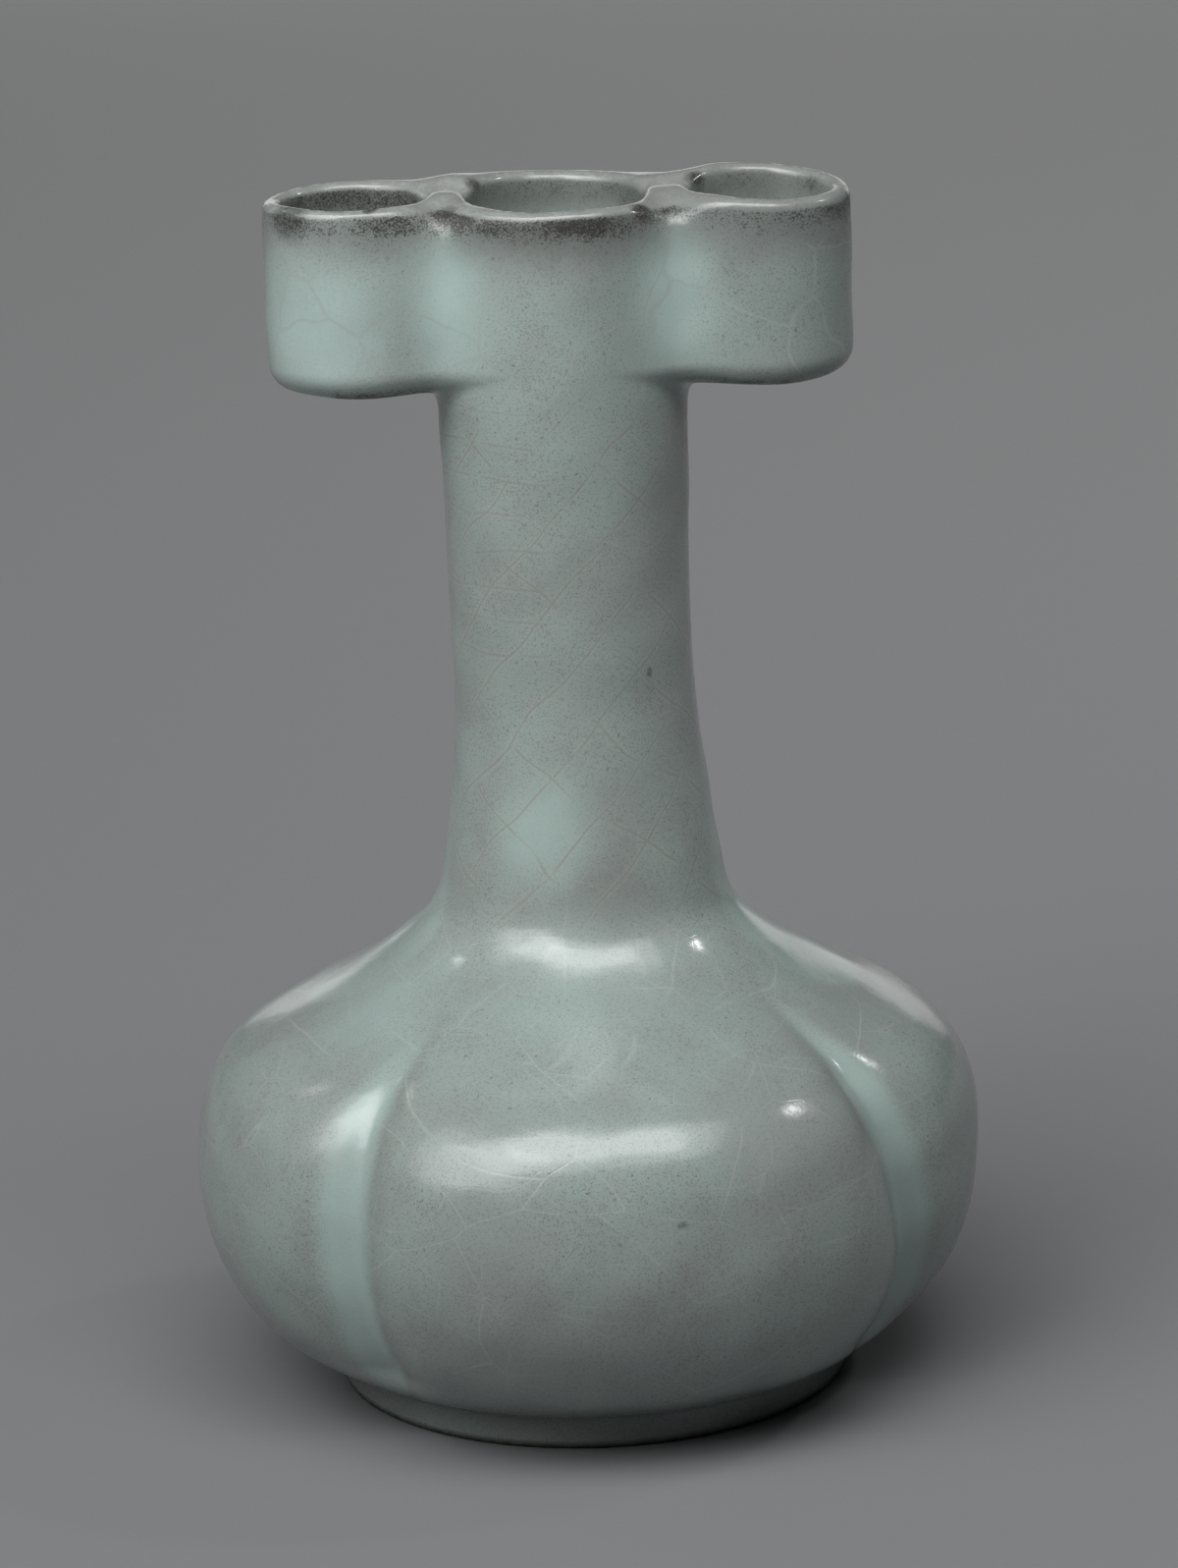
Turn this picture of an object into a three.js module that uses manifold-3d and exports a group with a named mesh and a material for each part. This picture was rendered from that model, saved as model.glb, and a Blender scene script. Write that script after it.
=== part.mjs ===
// Arrow vase: a crackle-glazed stoneware vase with a four-lobed body, a tall neck
// and two tubular lugs beside the mouth, built in sections as a potter lutes them.
// Millimetres, +Z up. The origin is the middle of the plane that the foot rests on.
// The lugs lie along X, and the front of the vase faces -Y.
import * as THREE from "three";
import { mergeVertices } from "three/addons/utils/BufferGeometryUtils.js";
import Module from "manifold-3d";

const wasm = await Module();
wasm.setup();

// Foot ring
const FOOT_HEIGHT = 5.4;
const FOOT_TOP_RADIUS = 37.8;
const FOOT_FLARE = 0.4;
const FOOT_WALL = 4.6;
const FOOT_EDGE_BEVEL = 0.8;

// Lower body, from the foot up to the belly, where the vase is widest
const LOWER_BODY_HEIGHT = 29.6;
const BELLY_RADIUS = 58.8;
const BODY_WALL = 4.2;
const BASE_THICKNESS = 4.8;
const UNDERSIDE_REACH = 11;
const UNDERSIDE_RISE = 1.8;
const BELLY_DROP = 17;
const INNER_FLOOR_RADIUS = 30;
const INNER_FLOOR_REACH = 13;
const INNER_FLOOR_RISE = 0.6;

// Shoulder, from the belly up to the neck
const SHOULDER_HEIGHT = 31.3;
const BELLY_RISE = 22.6;
const SHOULDER_REACH = 14.6;
const SHOULDER_FALL = 10.6;

// Lobes and the grooves between them
const LOBE_COUNT = 4;
const LOBE_TURN_DEGREES = 8;
const GROOVE_DEPTH = 2.6;
const GROOVE_SHARPNESS = 40;
const LOBE_SWELL = 1.5;
const LOBE_ROUNDNESS = 1.5;
const GROOVE_FADE_BELOW = 9;
const GROOVE_FADE_ABOVE = 11;
const GROOVE_END_BELOW_NECK = 1.5;

// Neck
const NECK_LENGTH = 113.7;
const NECK_BASE_RADIUS = 29.6;
const NECK_BASE_WALL = 5.6;
const NECK_WAIST_RADIUS = 17.7;
const NECK_WAIST_RISE = 41.7;
const NECK_FLARE_REACH = 6.9;
const NECK_FLARE_RISE = 5.7;
const NECK_COLLAR_RADIUS = 20.6;
const NECK_COLLAR_RISE = 13.6;
const NECK_COLLAR_REACH = 7;
const NECK_COLLAR_TAPER = 0.15;
const NECK_WAIST_DROP = 8;
const NECK_RADIUS = 18.1;
const NECK_WALL = 3.4;

// Tubular lugs, pared on one side to sit against the neck
const LUG_HEIGHT = 27.9;
const LUG_BORE = 20.8;
const LUG_WALL = 2.9;
const LUG_PARED_WALL = 0.6;
const LUG_FLOOR_THICKNESS = 4.4;
const LUG_FLOOR_ROUNDING = 3.9;

// Slip coils wiped into the four valleys between lugs and neck
const SLIP_GAP = 0.3;
const COIL_HOLLOW_RADIUS = 5;
const COIL_TOP_STEP = 1.2;

// Facets
const TURN_STEPS = 64;
const LUG_STEPS = 48;
const CURVE_STEPS = 8;
const LIP_STEPS = 6;
const ARC_STEPS = 6;
const GROOVE_CROWDING = 0.6;

// Heights of the joints, from the foot up
const bodyBottom = FOOT_HEIGHT;
const belly = bodyBottom + LOWER_BODY_HEIGHT;
const neckJoint = belly + SHOULDER_HEIGHT;
const rim = neckJoint + NECK_LENGTH;
const lugBottom = rim - LUG_HEIGHT;
const lugTubeBottom = lugBottom + LUG_FLOOR_THICKNESS;

const lugBoreRadius = LUG_BORE / 2;
const lugRadius = lugBoreRadius + LUG_WALL;
const paredRadius = NECK_RADIUS + SLIP_GAP;
const lugAxis = paredRadius + LUG_PARED_WALL + lugBoreRadius;

const glaze = { color: 0x9fb0ab, roughness: 0.3, metalness: 0 };
const pooledGlaze = { color: 0xb4c6c1, roughness: 0.25, metalness: 0 };
const bareFoot = { color: 0x4a4743, roughness: 0.75, metalness: 0 };

function piece(name, geometry, finish) {
  const mesh = new THREE.Mesh(geometry, new THREE.MeshStandardMaterial(finish));
  mesh.name = name;
  return mesh;
}

// Points of a cubic curve between two outline points, ends included.
function curve(start, control1, control2, end) {
  const ends = [start, control1, control2, end].map(([r, z]) => new THREE.Vector2(r, z));
  return new THREE.CubicBezierCurve(...ends).getPoints(CURVE_STEPS).map((p) => [p.x, p.y]);
}

// Points of a circular arc, ends included, for outlines and plans alike.
function arc(centre, radius, from, to, steps) {
  const points = [];
  for (let i = 0; i <= steps; i++) {
    const angle = from + ((to - from) * i) / steps;
    points.push([centre[0] + radius * Math.cos(angle), centre[1] + radius * Math.sin(angle)]);
  }
  return points;
}

// The round lip over a wall between two radii, from the outer face to the inner one.
function lip(outerRadius, innerRadius, top) {
  const radius = (outerRadius - innerRadius) / 2;
  return arc([outerRadius - radius, top - radius], radius, 0, Math.PI, LIP_STEPS);
}

// Turns an outline of [radius, height] points about Z.
function turned(outline, steps) {
  const points = outline.map(([r, z]) => new THREE.Vector2(r, z));
  return new THREE.LatheGeometry(points, steps).rotateX(Math.PI / 2);
}

// Turns an outline that closes on itself, for a piece that is open along its axis.
function turnedRing(outline, steps) {
  return turned([...outline, outline[0]], steps);
}

// How much of the grooves' depth is left at a height: they die out at the foot and the neck.
function grooveStrength(z) {
  const top = neckJoint - GROOVE_END_BELOW_NECK;
  const below = THREE.MathUtils.smoothstep(z, bodyBottom, bodyBottom + GROOVE_FADE_BELOW);
  const above = 1 - THREE.MathUtils.smoothstep(z, top - GROOVE_FADE_ABOVE, top);
  return below * above;
}

// Presses the grooves into a turned body, and crowds its facets towards them.
function lobed(geometry) {
  const frontLobe = THREE.MathUtils.degToRad(LOBE_TURN_DEGREES) - Math.PI / 2;
  const groove = frontLobe + Math.PI / LOBE_COUNT;
  const position = geometry.getAttribute("position");
  for (let i = 0; i < position.count; i++) {
    const radius = Math.hypot(position.getX(i), position.getY(i));
    const turn = Math.atan2(position.getY(i), position.getX(i));
    const angle = turn - (GROOVE_CROWDING * Math.sin(LOBE_COUNT * (turn - groove))) / LOBE_COUNT;
    const nearness = (1 + Math.cos(LOBE_COUNT * (angle - groove))) / 2;
    const crease = GROOVE_DEPTH * nearness ** GROOVE_SHARPNESS;
    const swell = LOBE_SWELL * nearness ** LOBE_ROUNDNESS;
    const pressed = (grooveStrength(position.getZ(i)) * (crease + swell)) / BELLY_RADIUS;
    const lobedRadius = radius * (1 - pressed);
    position.setX(i, lobedRadius * Math.cos(angle));
    position.setY(i, lobedRadius * Math.sin(angle));
  }
  return geometry;
}

function solid(geometry) {
  const bare = geometry.clone();
  bare.deleteAttribute("normal");
  bare.deleteAttribute("uv");
  const merged = mergeVertices(bare);
  const vertProperties = new Float32Array(merged.getAttribute("position").array);
  const triVerts = new Uint32Array(merged.index.array);
  return new wasm.Manifold(new wasm.Mesh({ numProp: 3, vertProperties, triVerts }));
}

function subtract(geometry, cutter) {
  const cut = solid(geometry).subtract(solid(cutter)).getMesh();
  const result = new THREE.BufferGeometry();
  result.setAttribute("position", new THREE.BufferAttribute(cut.vertProperties, 3));
  result.setIndex(new THREE.BufferAttribute(cut.triVerts, 1));
  result.computeVertexNormals();
  return result;
}

function footRing() {
  const innerRadius = FOOT_TOP_RADIUS - FOOT_WALL;
  const bottomRadius = FOOT_TOP_RADIUS + FOOT_FLARE;
  const outline = [
    [innerRadius + FOOT_EDGE_BEVEL, 0],
    [bottomRadius - FOOT_EDGE_BEVEL, 0],
    [bottomRadius, FOOT_EDGE_BEVEL],
    [FOOT_TOP_RADIUS, FOOT_HEIGHT],
    [innerRadius, FOOT_HEIGHT],
    [innerRadius, FOOT_EDGE_BEVEL],
  ];
  return piece("foot_ring", turnedRing(outline, TURN_STEPS), bareFoot);
}

function lowerBody() {
  const floor = bodyBottom + BASE_THICKNESS;
  const innerBelly = BELLY_RADIUS - BODY_WALL;
  const outside = curve(
    [FOOT_TOP_RADIUS, bodyBottom],
    [FOOT_TOP_RADIUS + UNDERSIDE_REACH, bodyBottom + UNDERSIDE_RISE],
    [BELLY_RADIUS, belly - BELLY_DROP],
    [BELLY_RADIUS, belly],
  );
  const inside = curve(
    [innerBelly, belly],
    [innerBelly, belly - BELLY_DROP],
    [INNER_FLOOR_RADIUS + INNER_FLOOR_REACH, floor + INNER_FLOOR_RISE],
    [INNER_FLOOR_RADIUS, floor],
  );
  const outline = [[0, bodyBottom], ...outside, ...inside, [0, floor]];
  return piece("lower_body", lobed(turned(outline, TURN_STEPS)), glaze);
}

function shoulder() {
  const innerBelly = BELLY_RADIUS - BODY_WALL;
  const innerNeck = NECK_BASE_RADIUS - NECK_BASE_WALL;
  const outside = curve(
    [BELLY_RADIUS, belly],
    [BELLY_RADIUS, belly + BELLY_RISE],
    [NECK_BASE_RADIUS + SHOULDER_REACH, neckJoint - SHOULDER_FALL],
    [NECK_BASE_RADIUS, neckJoint],
  );
  const inside = curve(
    [innerNeck, neckJoint],
    [innerNeck + SHOULDER_REACH, neckJoint - SHOULDER_FALL - BODY_WALL],
    [innerBelly, belly + BELLY_RISE - BODY_WALL / 2],
    [innerBelly, belly],
  );
  return piece("shoulder", lobed(turnedRing([...outside, ...inside], TURN_STEPS)), glaze);
}

// The neck's side from its base up to its waist, over the collar where the flare ends.
function neckSide(baseRadius, collarRadius, waistRadius) {
  const collar = neckJoint + NECK_COLLAR_RISE;
  const waist = neckJoint + NECK_WAIST_RISE;
  const taper = NECK_COLLAR_TAPER * NECK_COLLAR_REACH;
  const flare = curve(
    [baseRadius, neckJoint],
    [baseRadius - NECK_FLARE_REACH, neckJoint + NECK_FLARE_RISE],
    [collarRadius + taper, collar - NECK_COLLAR_REACH],
    [collarRadius, collar],
  );
  const stem = curve(
    [collarRadius, collar],
    [collarRadius - taper, collar + NECK_COLLAR_REACH],
    [waistRadius, waist - NECK_WAIST_DROP],
    [waistRadius, waist],
  );
  return [...flare, ...stem.slice(1)];
}

function neck() {
  const innerRim = NECK_RADIUS - NECK_WALL;
  const outside = neckSide(NECK_BASE_RADIUS, NECK_COLLAR_RADIUS, NECK_WAIST_RADIUS);
  const inside = neckSide(
    NECK_BASE_RADIUS - NECK_BASE_WALL,
    NECK_COLLAR_RADIUS - NECK_WALL,
    NECK_WAIST_RADIUS - NECK_WALL,
  );
  const outline = [
    ...outside,
    [NECK_RADIUS, lugBottom],
    ...lip(NECK_RADIUS, innerRim, rim),
    [innerRim, lugBottom],
    ...inside.reverse(),
  ];
  return piece("neck", turnedRing(outline, TURN_STEPS), glaze);
}

// The neck's outside with the slip gap, as seen from the axis of a lug on its right.
function neckCutter() {
  const cutter = new THREE.CylinderGeometry(paredRadius, paredRadius, rim + LUG_HEIGHT, TURN_STEPS);
  return cutter.rotateX(Math.PI / 2).translate(-lugAxis, 0, rim);
}

function lugTube() {
  const outline = [
    [lugRadius, lugTubeBottom],
    ...lip(lugRadius, lugBoreRadius, rim),
    [lugBoreRadius, lugTubeBottom],
  ];
  return subtract(turnedRing(outline, LUG_STEPS), neckCutter());
}

function lugFloor() {
  const edgeCentre = [lugRadius - LUG_FLOOR_ROUNDING, lugBottom + LUG_FLOOR_ROUNDING];
  const outline = [
    [0, lugBottom],
    ...arc(edgeCentre, LUG_FLOOR_ROUNDING, -Math.PI / 2, 0, ARC_STEPS),
    [lugRadius, lugTubeBottom],
    [0, lugTubeBottom],
  ];
  return subtract(turned(outline, LUG_STEPS), neckCutter());
}

// Where two circles in plan meet, on the side of negative Y.
function circlesMeet(centre1, radius1, centre2, radius2) {
  const gap = [centre2[0] - centre1[0], centre2[1] - centre1[1]];
  const distance = Math.hypot(...gap);
  const along = (distance ** 2 + radius1 ** 2 - radius2 ** 2) / (2 * distance);
  const aside = Math.sqrt(radius1 ** 2 - along ** 2);
  const [ux, uy] = gap.map((g) => g / distance);
  return [centre1[0] + ux * along + uy * aside, centre1[1] + uy * along - ux * aside];
}

// The arc of a circle in plan from one of its points to another, by the shorter way.
function arcBetween(centre, radius, from, to) {
  const start = Math.atan2(from[1] - centre[1], from[0] - centre[0]);
  const turn = Math.atan2(to[1] - centre[1], to[0] - centre[0]) - start;
  const shortest = Math.atan2(Math.sin(turn), Math.cos(turn));
  return arc(centre, radius, start, start + shortest, ARC_STEPS);
}

// A coil that fills the valley between a lug and the neck, with a face hollowed by a fingertip.
// side is -1 for the valley towards negative Y and 1 for the other, in the frame of a lug's axis.
function lugCoil(side) {
  const neckCentre = [-lugAxis, 0];
  const lugCentre = [0, 0];
  const coilNeckRadius = paredRadius;
  const coilLugRadius = lugRadius + SLIP_GAP;
  const finger = circlesMeet(
    neckCentre,
    NECK_RADIUS + COIL_HOLLOW_RADIUS,
    lugCentre,
    lugRadius + COIL_HOLLOW_RADIUS,
  );
  const onNeck = circlesMeet(finger, COIL_HOLLOW_RADIUS, neckCentre, coilNeckRadius);
  const onLug = circlesMeet(lugCentre, coilLugRadius, finger, COIL_HOLLOW_RADIUS);
  const valley = circlesMeet(neckCentre, coilNeckRadius, lugCentre, coilLugRadius);
  const plan = [
    ...arcBetween(finger, COIL_HOLLOW_RADIUS, onNeck, onLug),
    ...arcBetween(lugCentre, coilLugRadius, onLug, valley).slice(1),
    ...arcBetween(neckCentre, coilNeckRadius, valley, onNeck).slice(1, -1),
  ];
  const shape = new THREE.Shape(plan.map(([x, y]) => new THREE.Vector2(x, -side * y)));
  const depth = rim - COIL_TOP_STEP - lugTubeBottom;
  const geometry = new THREE.ExtrudeGeometry(shape, { depth, bevelEnabled: false });
  return geometry.translate(0, 0, lugTubeBottom);
}

// One lug with its floor and its two coils. The left lug is the right one turned half round.
function lug(sideName, turn) {
  const group = new THREE.Group();
  group.add(piece(`${sideName}_lug_tube`, lugTube(), glaze));
  group.add(piece(`${sideName}_lug_floor`, lugFloor(), glaze));
  for (const side of [-1, 1]) {
    const facesFront = side * Math.cos(turn) < 0;
    const name = `${sideName}_lug_${facesFront ? "front" : "back"}_coil`;
    group.add(piece(name, lugCoil(side), pooledGlaze));
  }
  group.position.x = lugAxis * Math.cos(turn);
  group.rotation.z = turn;
  return group;
}

const vase = new THREE.Group();
vase.name = "arrow_vase";
vase.add(footRing(), lowerBody(), shoulder(), neck());
vase.add(lug("right", 0), lug("left", Math.PI));

export default vase;
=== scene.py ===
# Arrow vase: the dressed model. The fired clay is worked out as one smooth form from the frame's
# sizes, cut at the joints of the frame's nodes, and covered with a crackled celadon glaze.
import math

import bmesh
import bpy
import numpy as np
from mathutils import Matrix, Vector


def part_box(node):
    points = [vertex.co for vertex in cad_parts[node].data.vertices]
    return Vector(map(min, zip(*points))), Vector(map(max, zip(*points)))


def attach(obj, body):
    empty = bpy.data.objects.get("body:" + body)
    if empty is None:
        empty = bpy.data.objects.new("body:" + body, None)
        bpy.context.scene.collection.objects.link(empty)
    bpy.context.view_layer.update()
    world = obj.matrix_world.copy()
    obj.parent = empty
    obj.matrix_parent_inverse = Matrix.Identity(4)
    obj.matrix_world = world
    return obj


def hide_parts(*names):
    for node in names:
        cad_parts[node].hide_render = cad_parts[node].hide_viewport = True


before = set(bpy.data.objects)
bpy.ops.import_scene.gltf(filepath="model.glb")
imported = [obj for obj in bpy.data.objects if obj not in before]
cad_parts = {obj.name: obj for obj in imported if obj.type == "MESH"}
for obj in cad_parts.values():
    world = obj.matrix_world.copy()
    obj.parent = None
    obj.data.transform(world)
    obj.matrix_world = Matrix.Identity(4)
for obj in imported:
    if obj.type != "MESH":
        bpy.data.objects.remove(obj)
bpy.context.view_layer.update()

# The form is worked out in millimetres, and written in metres.
MM = 0.001

# The outline: radii, and its curves' control points as distances from the curves' ends
FOOT_TOP_RADIUS = 37.8
FOOT_WALL = 4.6
FOOT_EDGE = 0.8
FOOT_RECESS = 0.9
BELLY_RADIUS = 58.8
UNDERSIDE_REACH = 11
UNDERSIDE_RISE = 1.8
BELLY_DROP = 17
BELLY_RISE = 22.6
SHOULDER_REACH = 14.6
SHOULDER_FALL = 11.2
NECK_FLARE_REACH = 6.9
NECK_FLARE_RISE = 5.3
NECK_COLLAR_RADIUS = 20.6
NECK_COLLAR_RISE = 13.6
NECK_COLLAR_REACH = 7
NECK_COLLAR_TAPER = 0.15
NECK_WAIST_RADIUS = 17.7
NECK_WAIST_RISE = 41.7
NECK_WAIST_DROP = 8
NECK_RADIUS = 18.1

# Walls
BASE_WALL = 4.8
BODY_WALL = 4.2
NECK_WALL = 3.4
LUG_WALL = 2.9
LUG_FLOOR_ROUNDING = 3.9
BORE_FLOOR_RISE = 0.9
BORE_FLOOR_ROUNDING = 3

# How far from a joint or an edge the glaze and the wiped slip round it off, how much lower that
# leaves the lips, and the least fillet where a filled valley runs out
FOOT_JOINT_REACH = 1.0
VALLEY_REACH = 19
UNDER_LUG_REACH = 6
LIP_REACH = 2.8
LIP_LOSS = 0.2
LEAST_FILLET = 0.05

# Lobes and the grooves between them
LOBE_COUNT = 4
LOBE_TURN = math.radians(8)
GROOVE_DEPTH = 4.2
GROOVE_ROUNDING = 2.2
GROOVE_FLANK = 5
GROOVE_NARROWING = 0.45
LOBE_SWELL = 1.0
LOBE_ROUNDNESS = 1.5
GROOVE_FADE_BELOW = 8
GROOVE_FADE_ABOVE = 14

# The front groove on the right lies a little nearer the front than its place in the row of four,
# and swerves outwards towards the foot
RIGHT_GROOVE_SWERVE = math.radians(9)
RIGHT_GROOVE_SHIFT = math.radians(1.5)
RIGHT_GROOVE_HEIGHTS = (14, 58)

# The front groove on the left lies a little further back than its place in the row of four
LEFT_GROOVE_SHIFT = math.radians(2)

# Unevenness of the rim: the lugs' lips were trimmed by eye
RIGHT_LIP_RISE = 0.43
RIGHT_LIP_SLOPE = 0.062
RIGHT_LIP_FALL = 0.06
LEFT_LIP_RISE = 0.4

# The walls between mouth and lugs: their place, width and thickening, and the rim's course along
# them. From a crest in the middle it falls to the front valley, where it is rounder, and behind the
# crest it dips and rises again. The back of the mouth rises a little beside the left wall.
PARTITION_PLACE = 16.2
PARTITION_WIDTH = 2.8
PARTITION_FILL = 2.3
LEFT_CREST, RIGHT_CREST = 0.9, 0.35
FRONT_FALL = 0.7
FRONT_FALL_PLACES = (1, 9)
HOLLOW_DEPTH = 1.6
HOLLOW_PLACE = 4
HOLLOW_WIDTH = 2
MOUTH_BACK_RISE = 0.55
MOUTH_BACK_PLACE = -8.5
MOUTH_BACK_WIDTH = 5
VALLEY_LIP_REACH = 9

# The neck bows a little to the right just above the shoulder
NECK_BOW = 0.7
NECK_BOW_HEIGHT = 82
NECK_BOW_LENGTH = 14

# Waves left by the hand: length of each wave, its direction and its height
HAND_WAVES = (
    (31, (0.3, 0.5, 0.8), 0.1),
    (23, (-0.7, 0.6, 0.4), 0.08),
    (17, (0.8, 0.55, -0.25), 0.06),
    (12, (0.2, -0.5, 0.85), 0.045),
    (9, (-0.6, 0.3, 0.75), 0.025),
)

# Fineness of the mesh and of the measurements on it. The last two margins are numbers of steps.
SECTION_STEP = 0.5
SECTION_MARGIN = 8
SECTION_READ_MARGIN = 3.001
CURVE_STEPS = 120
MESH_STEP = 0.9
MESH_MARGIN = 3
RELAX_ROUNDS = 3
SLAB_LAYERS = 12
SETTLE_REACH = 0.05
NORMAL_REACH = 0.5
SAME_PLACE = 1e-4
ON_JOINT = 1e-3

# The pools of glaze in the valleys between mouth and lugs: their place across the vase and width,
# and how far above the lugs' bottoms and below the rim they fade
VALLEY_POOL_PLACE = 16
VALLEY_POOL_WIDTH = 4
VALLEY_POOL_START = (-4, 9)
VALLEY_POOL_TOP = 9

# The thicker glaze inside mouth and lugs, and the depths below the rim between which it comes in
INSIDE_POOL = 0.55
INSIDE_POOL_REACH = (3, 10)

# The pool of glaze in a groove lies off the groove's middle, away from the front and back lobes:
# its shift, the distances from its own middle between which it ends, and how fast it fades
GROOVE_POOL_SHIFT = 1.8
GROOVE_POOL = (1.8, 6.2)
GROOVE_POOL_FADE = 1.5

# Distances from the middle of a groove, towards the front or back lobe, at which the darker flank
# starts, is darkest and ends: partly thin glaze and partly painted shade where the lobe turns away
GROOVE_RIDGE = (1.6, 4.2, 9)

# How far up the lugs the dark line on their lower edges reaches: partly thin brown glaze and partly
# painted shade under the lugs
LUG_EDGE_RISE = 3.2

# Heights on the foot between which the bare clay gives way to glaze
BARE_FOOT_END = (0.5, 1.4)

# The camera, as fitted to the photograph
PHOTO_HEIGHT = 1597
SENSOR_WIDTH = 36
FOCAL_PIXELS = 6507
CAMERA_PLACE = (0, -915, 340.4)
CAMERA_AIM = (1.9, 0, 90.6)
CAMERA_ROLL = math.radians(-1.95)

# Studio: each lamp's name, place and size in metres, roll in degrees and power in watts
LAMPS = (
    ("softbox_core", (0.0, -0.57, 1.31), (1.1, 0.55), 12, 5.8),
    ("softbox", (-0.05, -0.63, 1.27), (1.8, 0.95), 18, 10.8),
    ("softbox_skirt", (-0.76, -0.76, 0.92), (0.95, 0.8), 0, 4.0),
    ("left_fill", (-1.0, -0.7, 1.18), (1.4, 1.2), 0, 7.1),
    ("right_spot", (1.16, 0.3, 1.2), (0.08, 0.08), 0, 1.4),
    ("left_spot", (-0.95, 0.62, 1.05), (0.07, 0.07), 0, 0.2),
    ("back_glow", (0.15, 2.0, 0.32), (1.6, 0.6), 0, 2.4),
)
WORLD_COLOUR = (0.95, 0.98, 1.0)
WORLD_STRENGTH = 0.016

# The floor, as it is seen near the vase and far behind, and as it throws light back at the vase
FLOOR_NEAR = (0.2, 0.203, 0.209)
FLOOR_FAR = (0.56, 0.563, 0.57)
FLOOR_FAR_PLACE = (-0.2, 1.6)
FLOOR_FAR_SLANT = 0.5
FLOOR_BOUNCE = (0.17, 0.172, 0.177)
FLOOR_REACH = 4
FLOOR_ROUGHNESS = 0.9

# Colours of the glaze and the clay
GLAZE_GREY = (0.284, 0.322, 0.306)
GLAZE_GREEN = (0.31, 0.378, 0.353)
GLAZE_DULL = (0.268, 0.288, 0.276)
GLAZE_POOLED_AND_PAINTED_LIGHT = (0.368, 0.472, 0.442)
GLAZE_GRIT = (0.19, 0.187, 0.188)
GLAZE_DOT = (0.1, 0.09, 0.085)
GLAZE_THIN = (0.15, 0.155, 0.147)
GLAZE_BURNT = (0.04, 0.036, 0.031)
GLAZE_LIP = (0.235, 0.238, 0.225)
# The ridge colour is partly thin glaze and partly painted shade on the grooves' flanks; the dull
# clouds use it too
GLAZE_RIDGE = (0.2, 0.197, 0.183)
GLAZE_IOR = 1.6
CRACK_PALE = (0.43, 0.47, 0.45)
CRACK_STAINED = (0.255, 0.23, 0.175)
CLAY_BARE = (0.03, 0.026, 0.022)

# Noises that the glaze's marks follow: the size of their lumps in millimetres, detail and roughness
CLOUDS = (30, 3.0, 0.5)
PATCHES = (9, 3.0, 0.6)
SMEARS = (5, 3.0, 0.6)
PEEL = (2.2, 2.0, 0.5)
BLOTCHES = (1.1, 2.0, 0.7)
SPECKS = (0.55, 0.0, 0.5)
GRAIN = (0.28, 1.0, 0.5)
GRAIN_WEIGHT, BLOTCH_WEIGHT = 1.2, 0.4

# Heights and places across the vase at which one part gives way to the next. These and the steps
# below have a start, an end and, where they aren't 0 and 1, the values before and after.
NECK_START = (69, 80)
LUGS_START = (146, 158)
LEFT_LUG_END = (-21, -18, 1.0, 0.0)
MOUTH_END = (15, 21, 1.0, 0.0)

# The glaze's own colour: the levels of the noises and the depths below the rim at which a colour
# comes in or ends, and its share
GREEN_LEVELS = (0.38, 0.64)
DULL_PATCHES = (0.45, 0.75, 0.0, 0.45)
DULL_RIM = (3, 13, 0.7, 0.0)
RIDGE_PATCHES = (0.35, 0.65, 0.1, 0.36)
RAGGED_POOLS = (0.3, 0.65, 0.85, 1.0)
POOL_SHARE = 0.97

# Grit and dots, in the same way, and how much of them a pool covers
GRIT_LEVELS = (0.48, 0.72)
GRIT_PATCHES = (0.3, 0.7, 0.42, 0.75)
DOT_LEVELS = (0.76, 0.84, 0.0, 0.55)
DOT_CLOUD_LEVELS = (0.35, 0.6)
POOL_COVER = 0.8

# Painted light and shade: the factor by which the glaze at the foot is painted darker as shade, and
# the heights in millimetres between which it is painted paler or darker by a factor where the light
# falls more or less. About the mouth it is painted darker from left to right, away from the light.
# In the right valley a spot is painted paler as light, with its middle, its reach and the share of
# the reach within which it is full.
FOOT_PAINTED_SHADE = 0.7
PAINTED_LIGHT_CHANGES = ((3, 12, 1.5), (45, 60, 0.9), (66, 74, 1.22))
LUG_PAINTED_LIGHT = (-25, 36, 1.14, 0.92)
RIGHT_VALLEY_LIT_SPOT = ((17, -12, 166), 11, 0.2)
RIGHT_VALLEY_PAINTED_LIGHT = 1.2

# Nets of cracks: the size of their meshes and the width of the lines, the size and reach of their
# straying, and how strongly they show. The noise that breaks them off has a size and levels.
WIDE_CRACKS = (23, 0.22)
FINE_CRACKS, FINE_CRACK_SHARE = (12, 0.18), 0.6
BODY_CRACK_STRAY = (24, 2.5)
BODY_CRACK_SQUASH = (1, 1, 1.6)
BODY_AND_NECK_SHARES = (0.34, 0.18)
CRACKS_START = (5, 14)
CRACK_BREAKS, CRACK_BREAK_LEVELS = 13, (0.36, 0.54)
LUG_CRACKS = (16, 0.36)
LUG_CRACK_STRAY = (13, 4)
LUG_CRACK_END = (4, 8, 0.0, 0.4)

# The neck's cracks slant round it one way and the other: their number about the neck, their turns
# in a metre of height, how far they stray, the levels of the noise that breaks them off, and how
# far to the side that noise is read
NECK_CRACKS_RISING = (10, -80, 0.6, (0.36, 0.46), 0)
NECK_CRACKS_FALLING = (7, 75, -0.6, (0.48, 0.58), 50)
NECK_CRACK_STRAY = (16, 1.5)
NECK_CRACK_BREAKS = 12
NECK_CRACK_SPACING = 9.5
NECK_CRACK_WIDTH, STAIN_SHARE = 0.27, 0.38
CRACK_BORDER_WIDTH, CRACK_BORDER_SHARE = 0.81, 0.26

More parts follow.
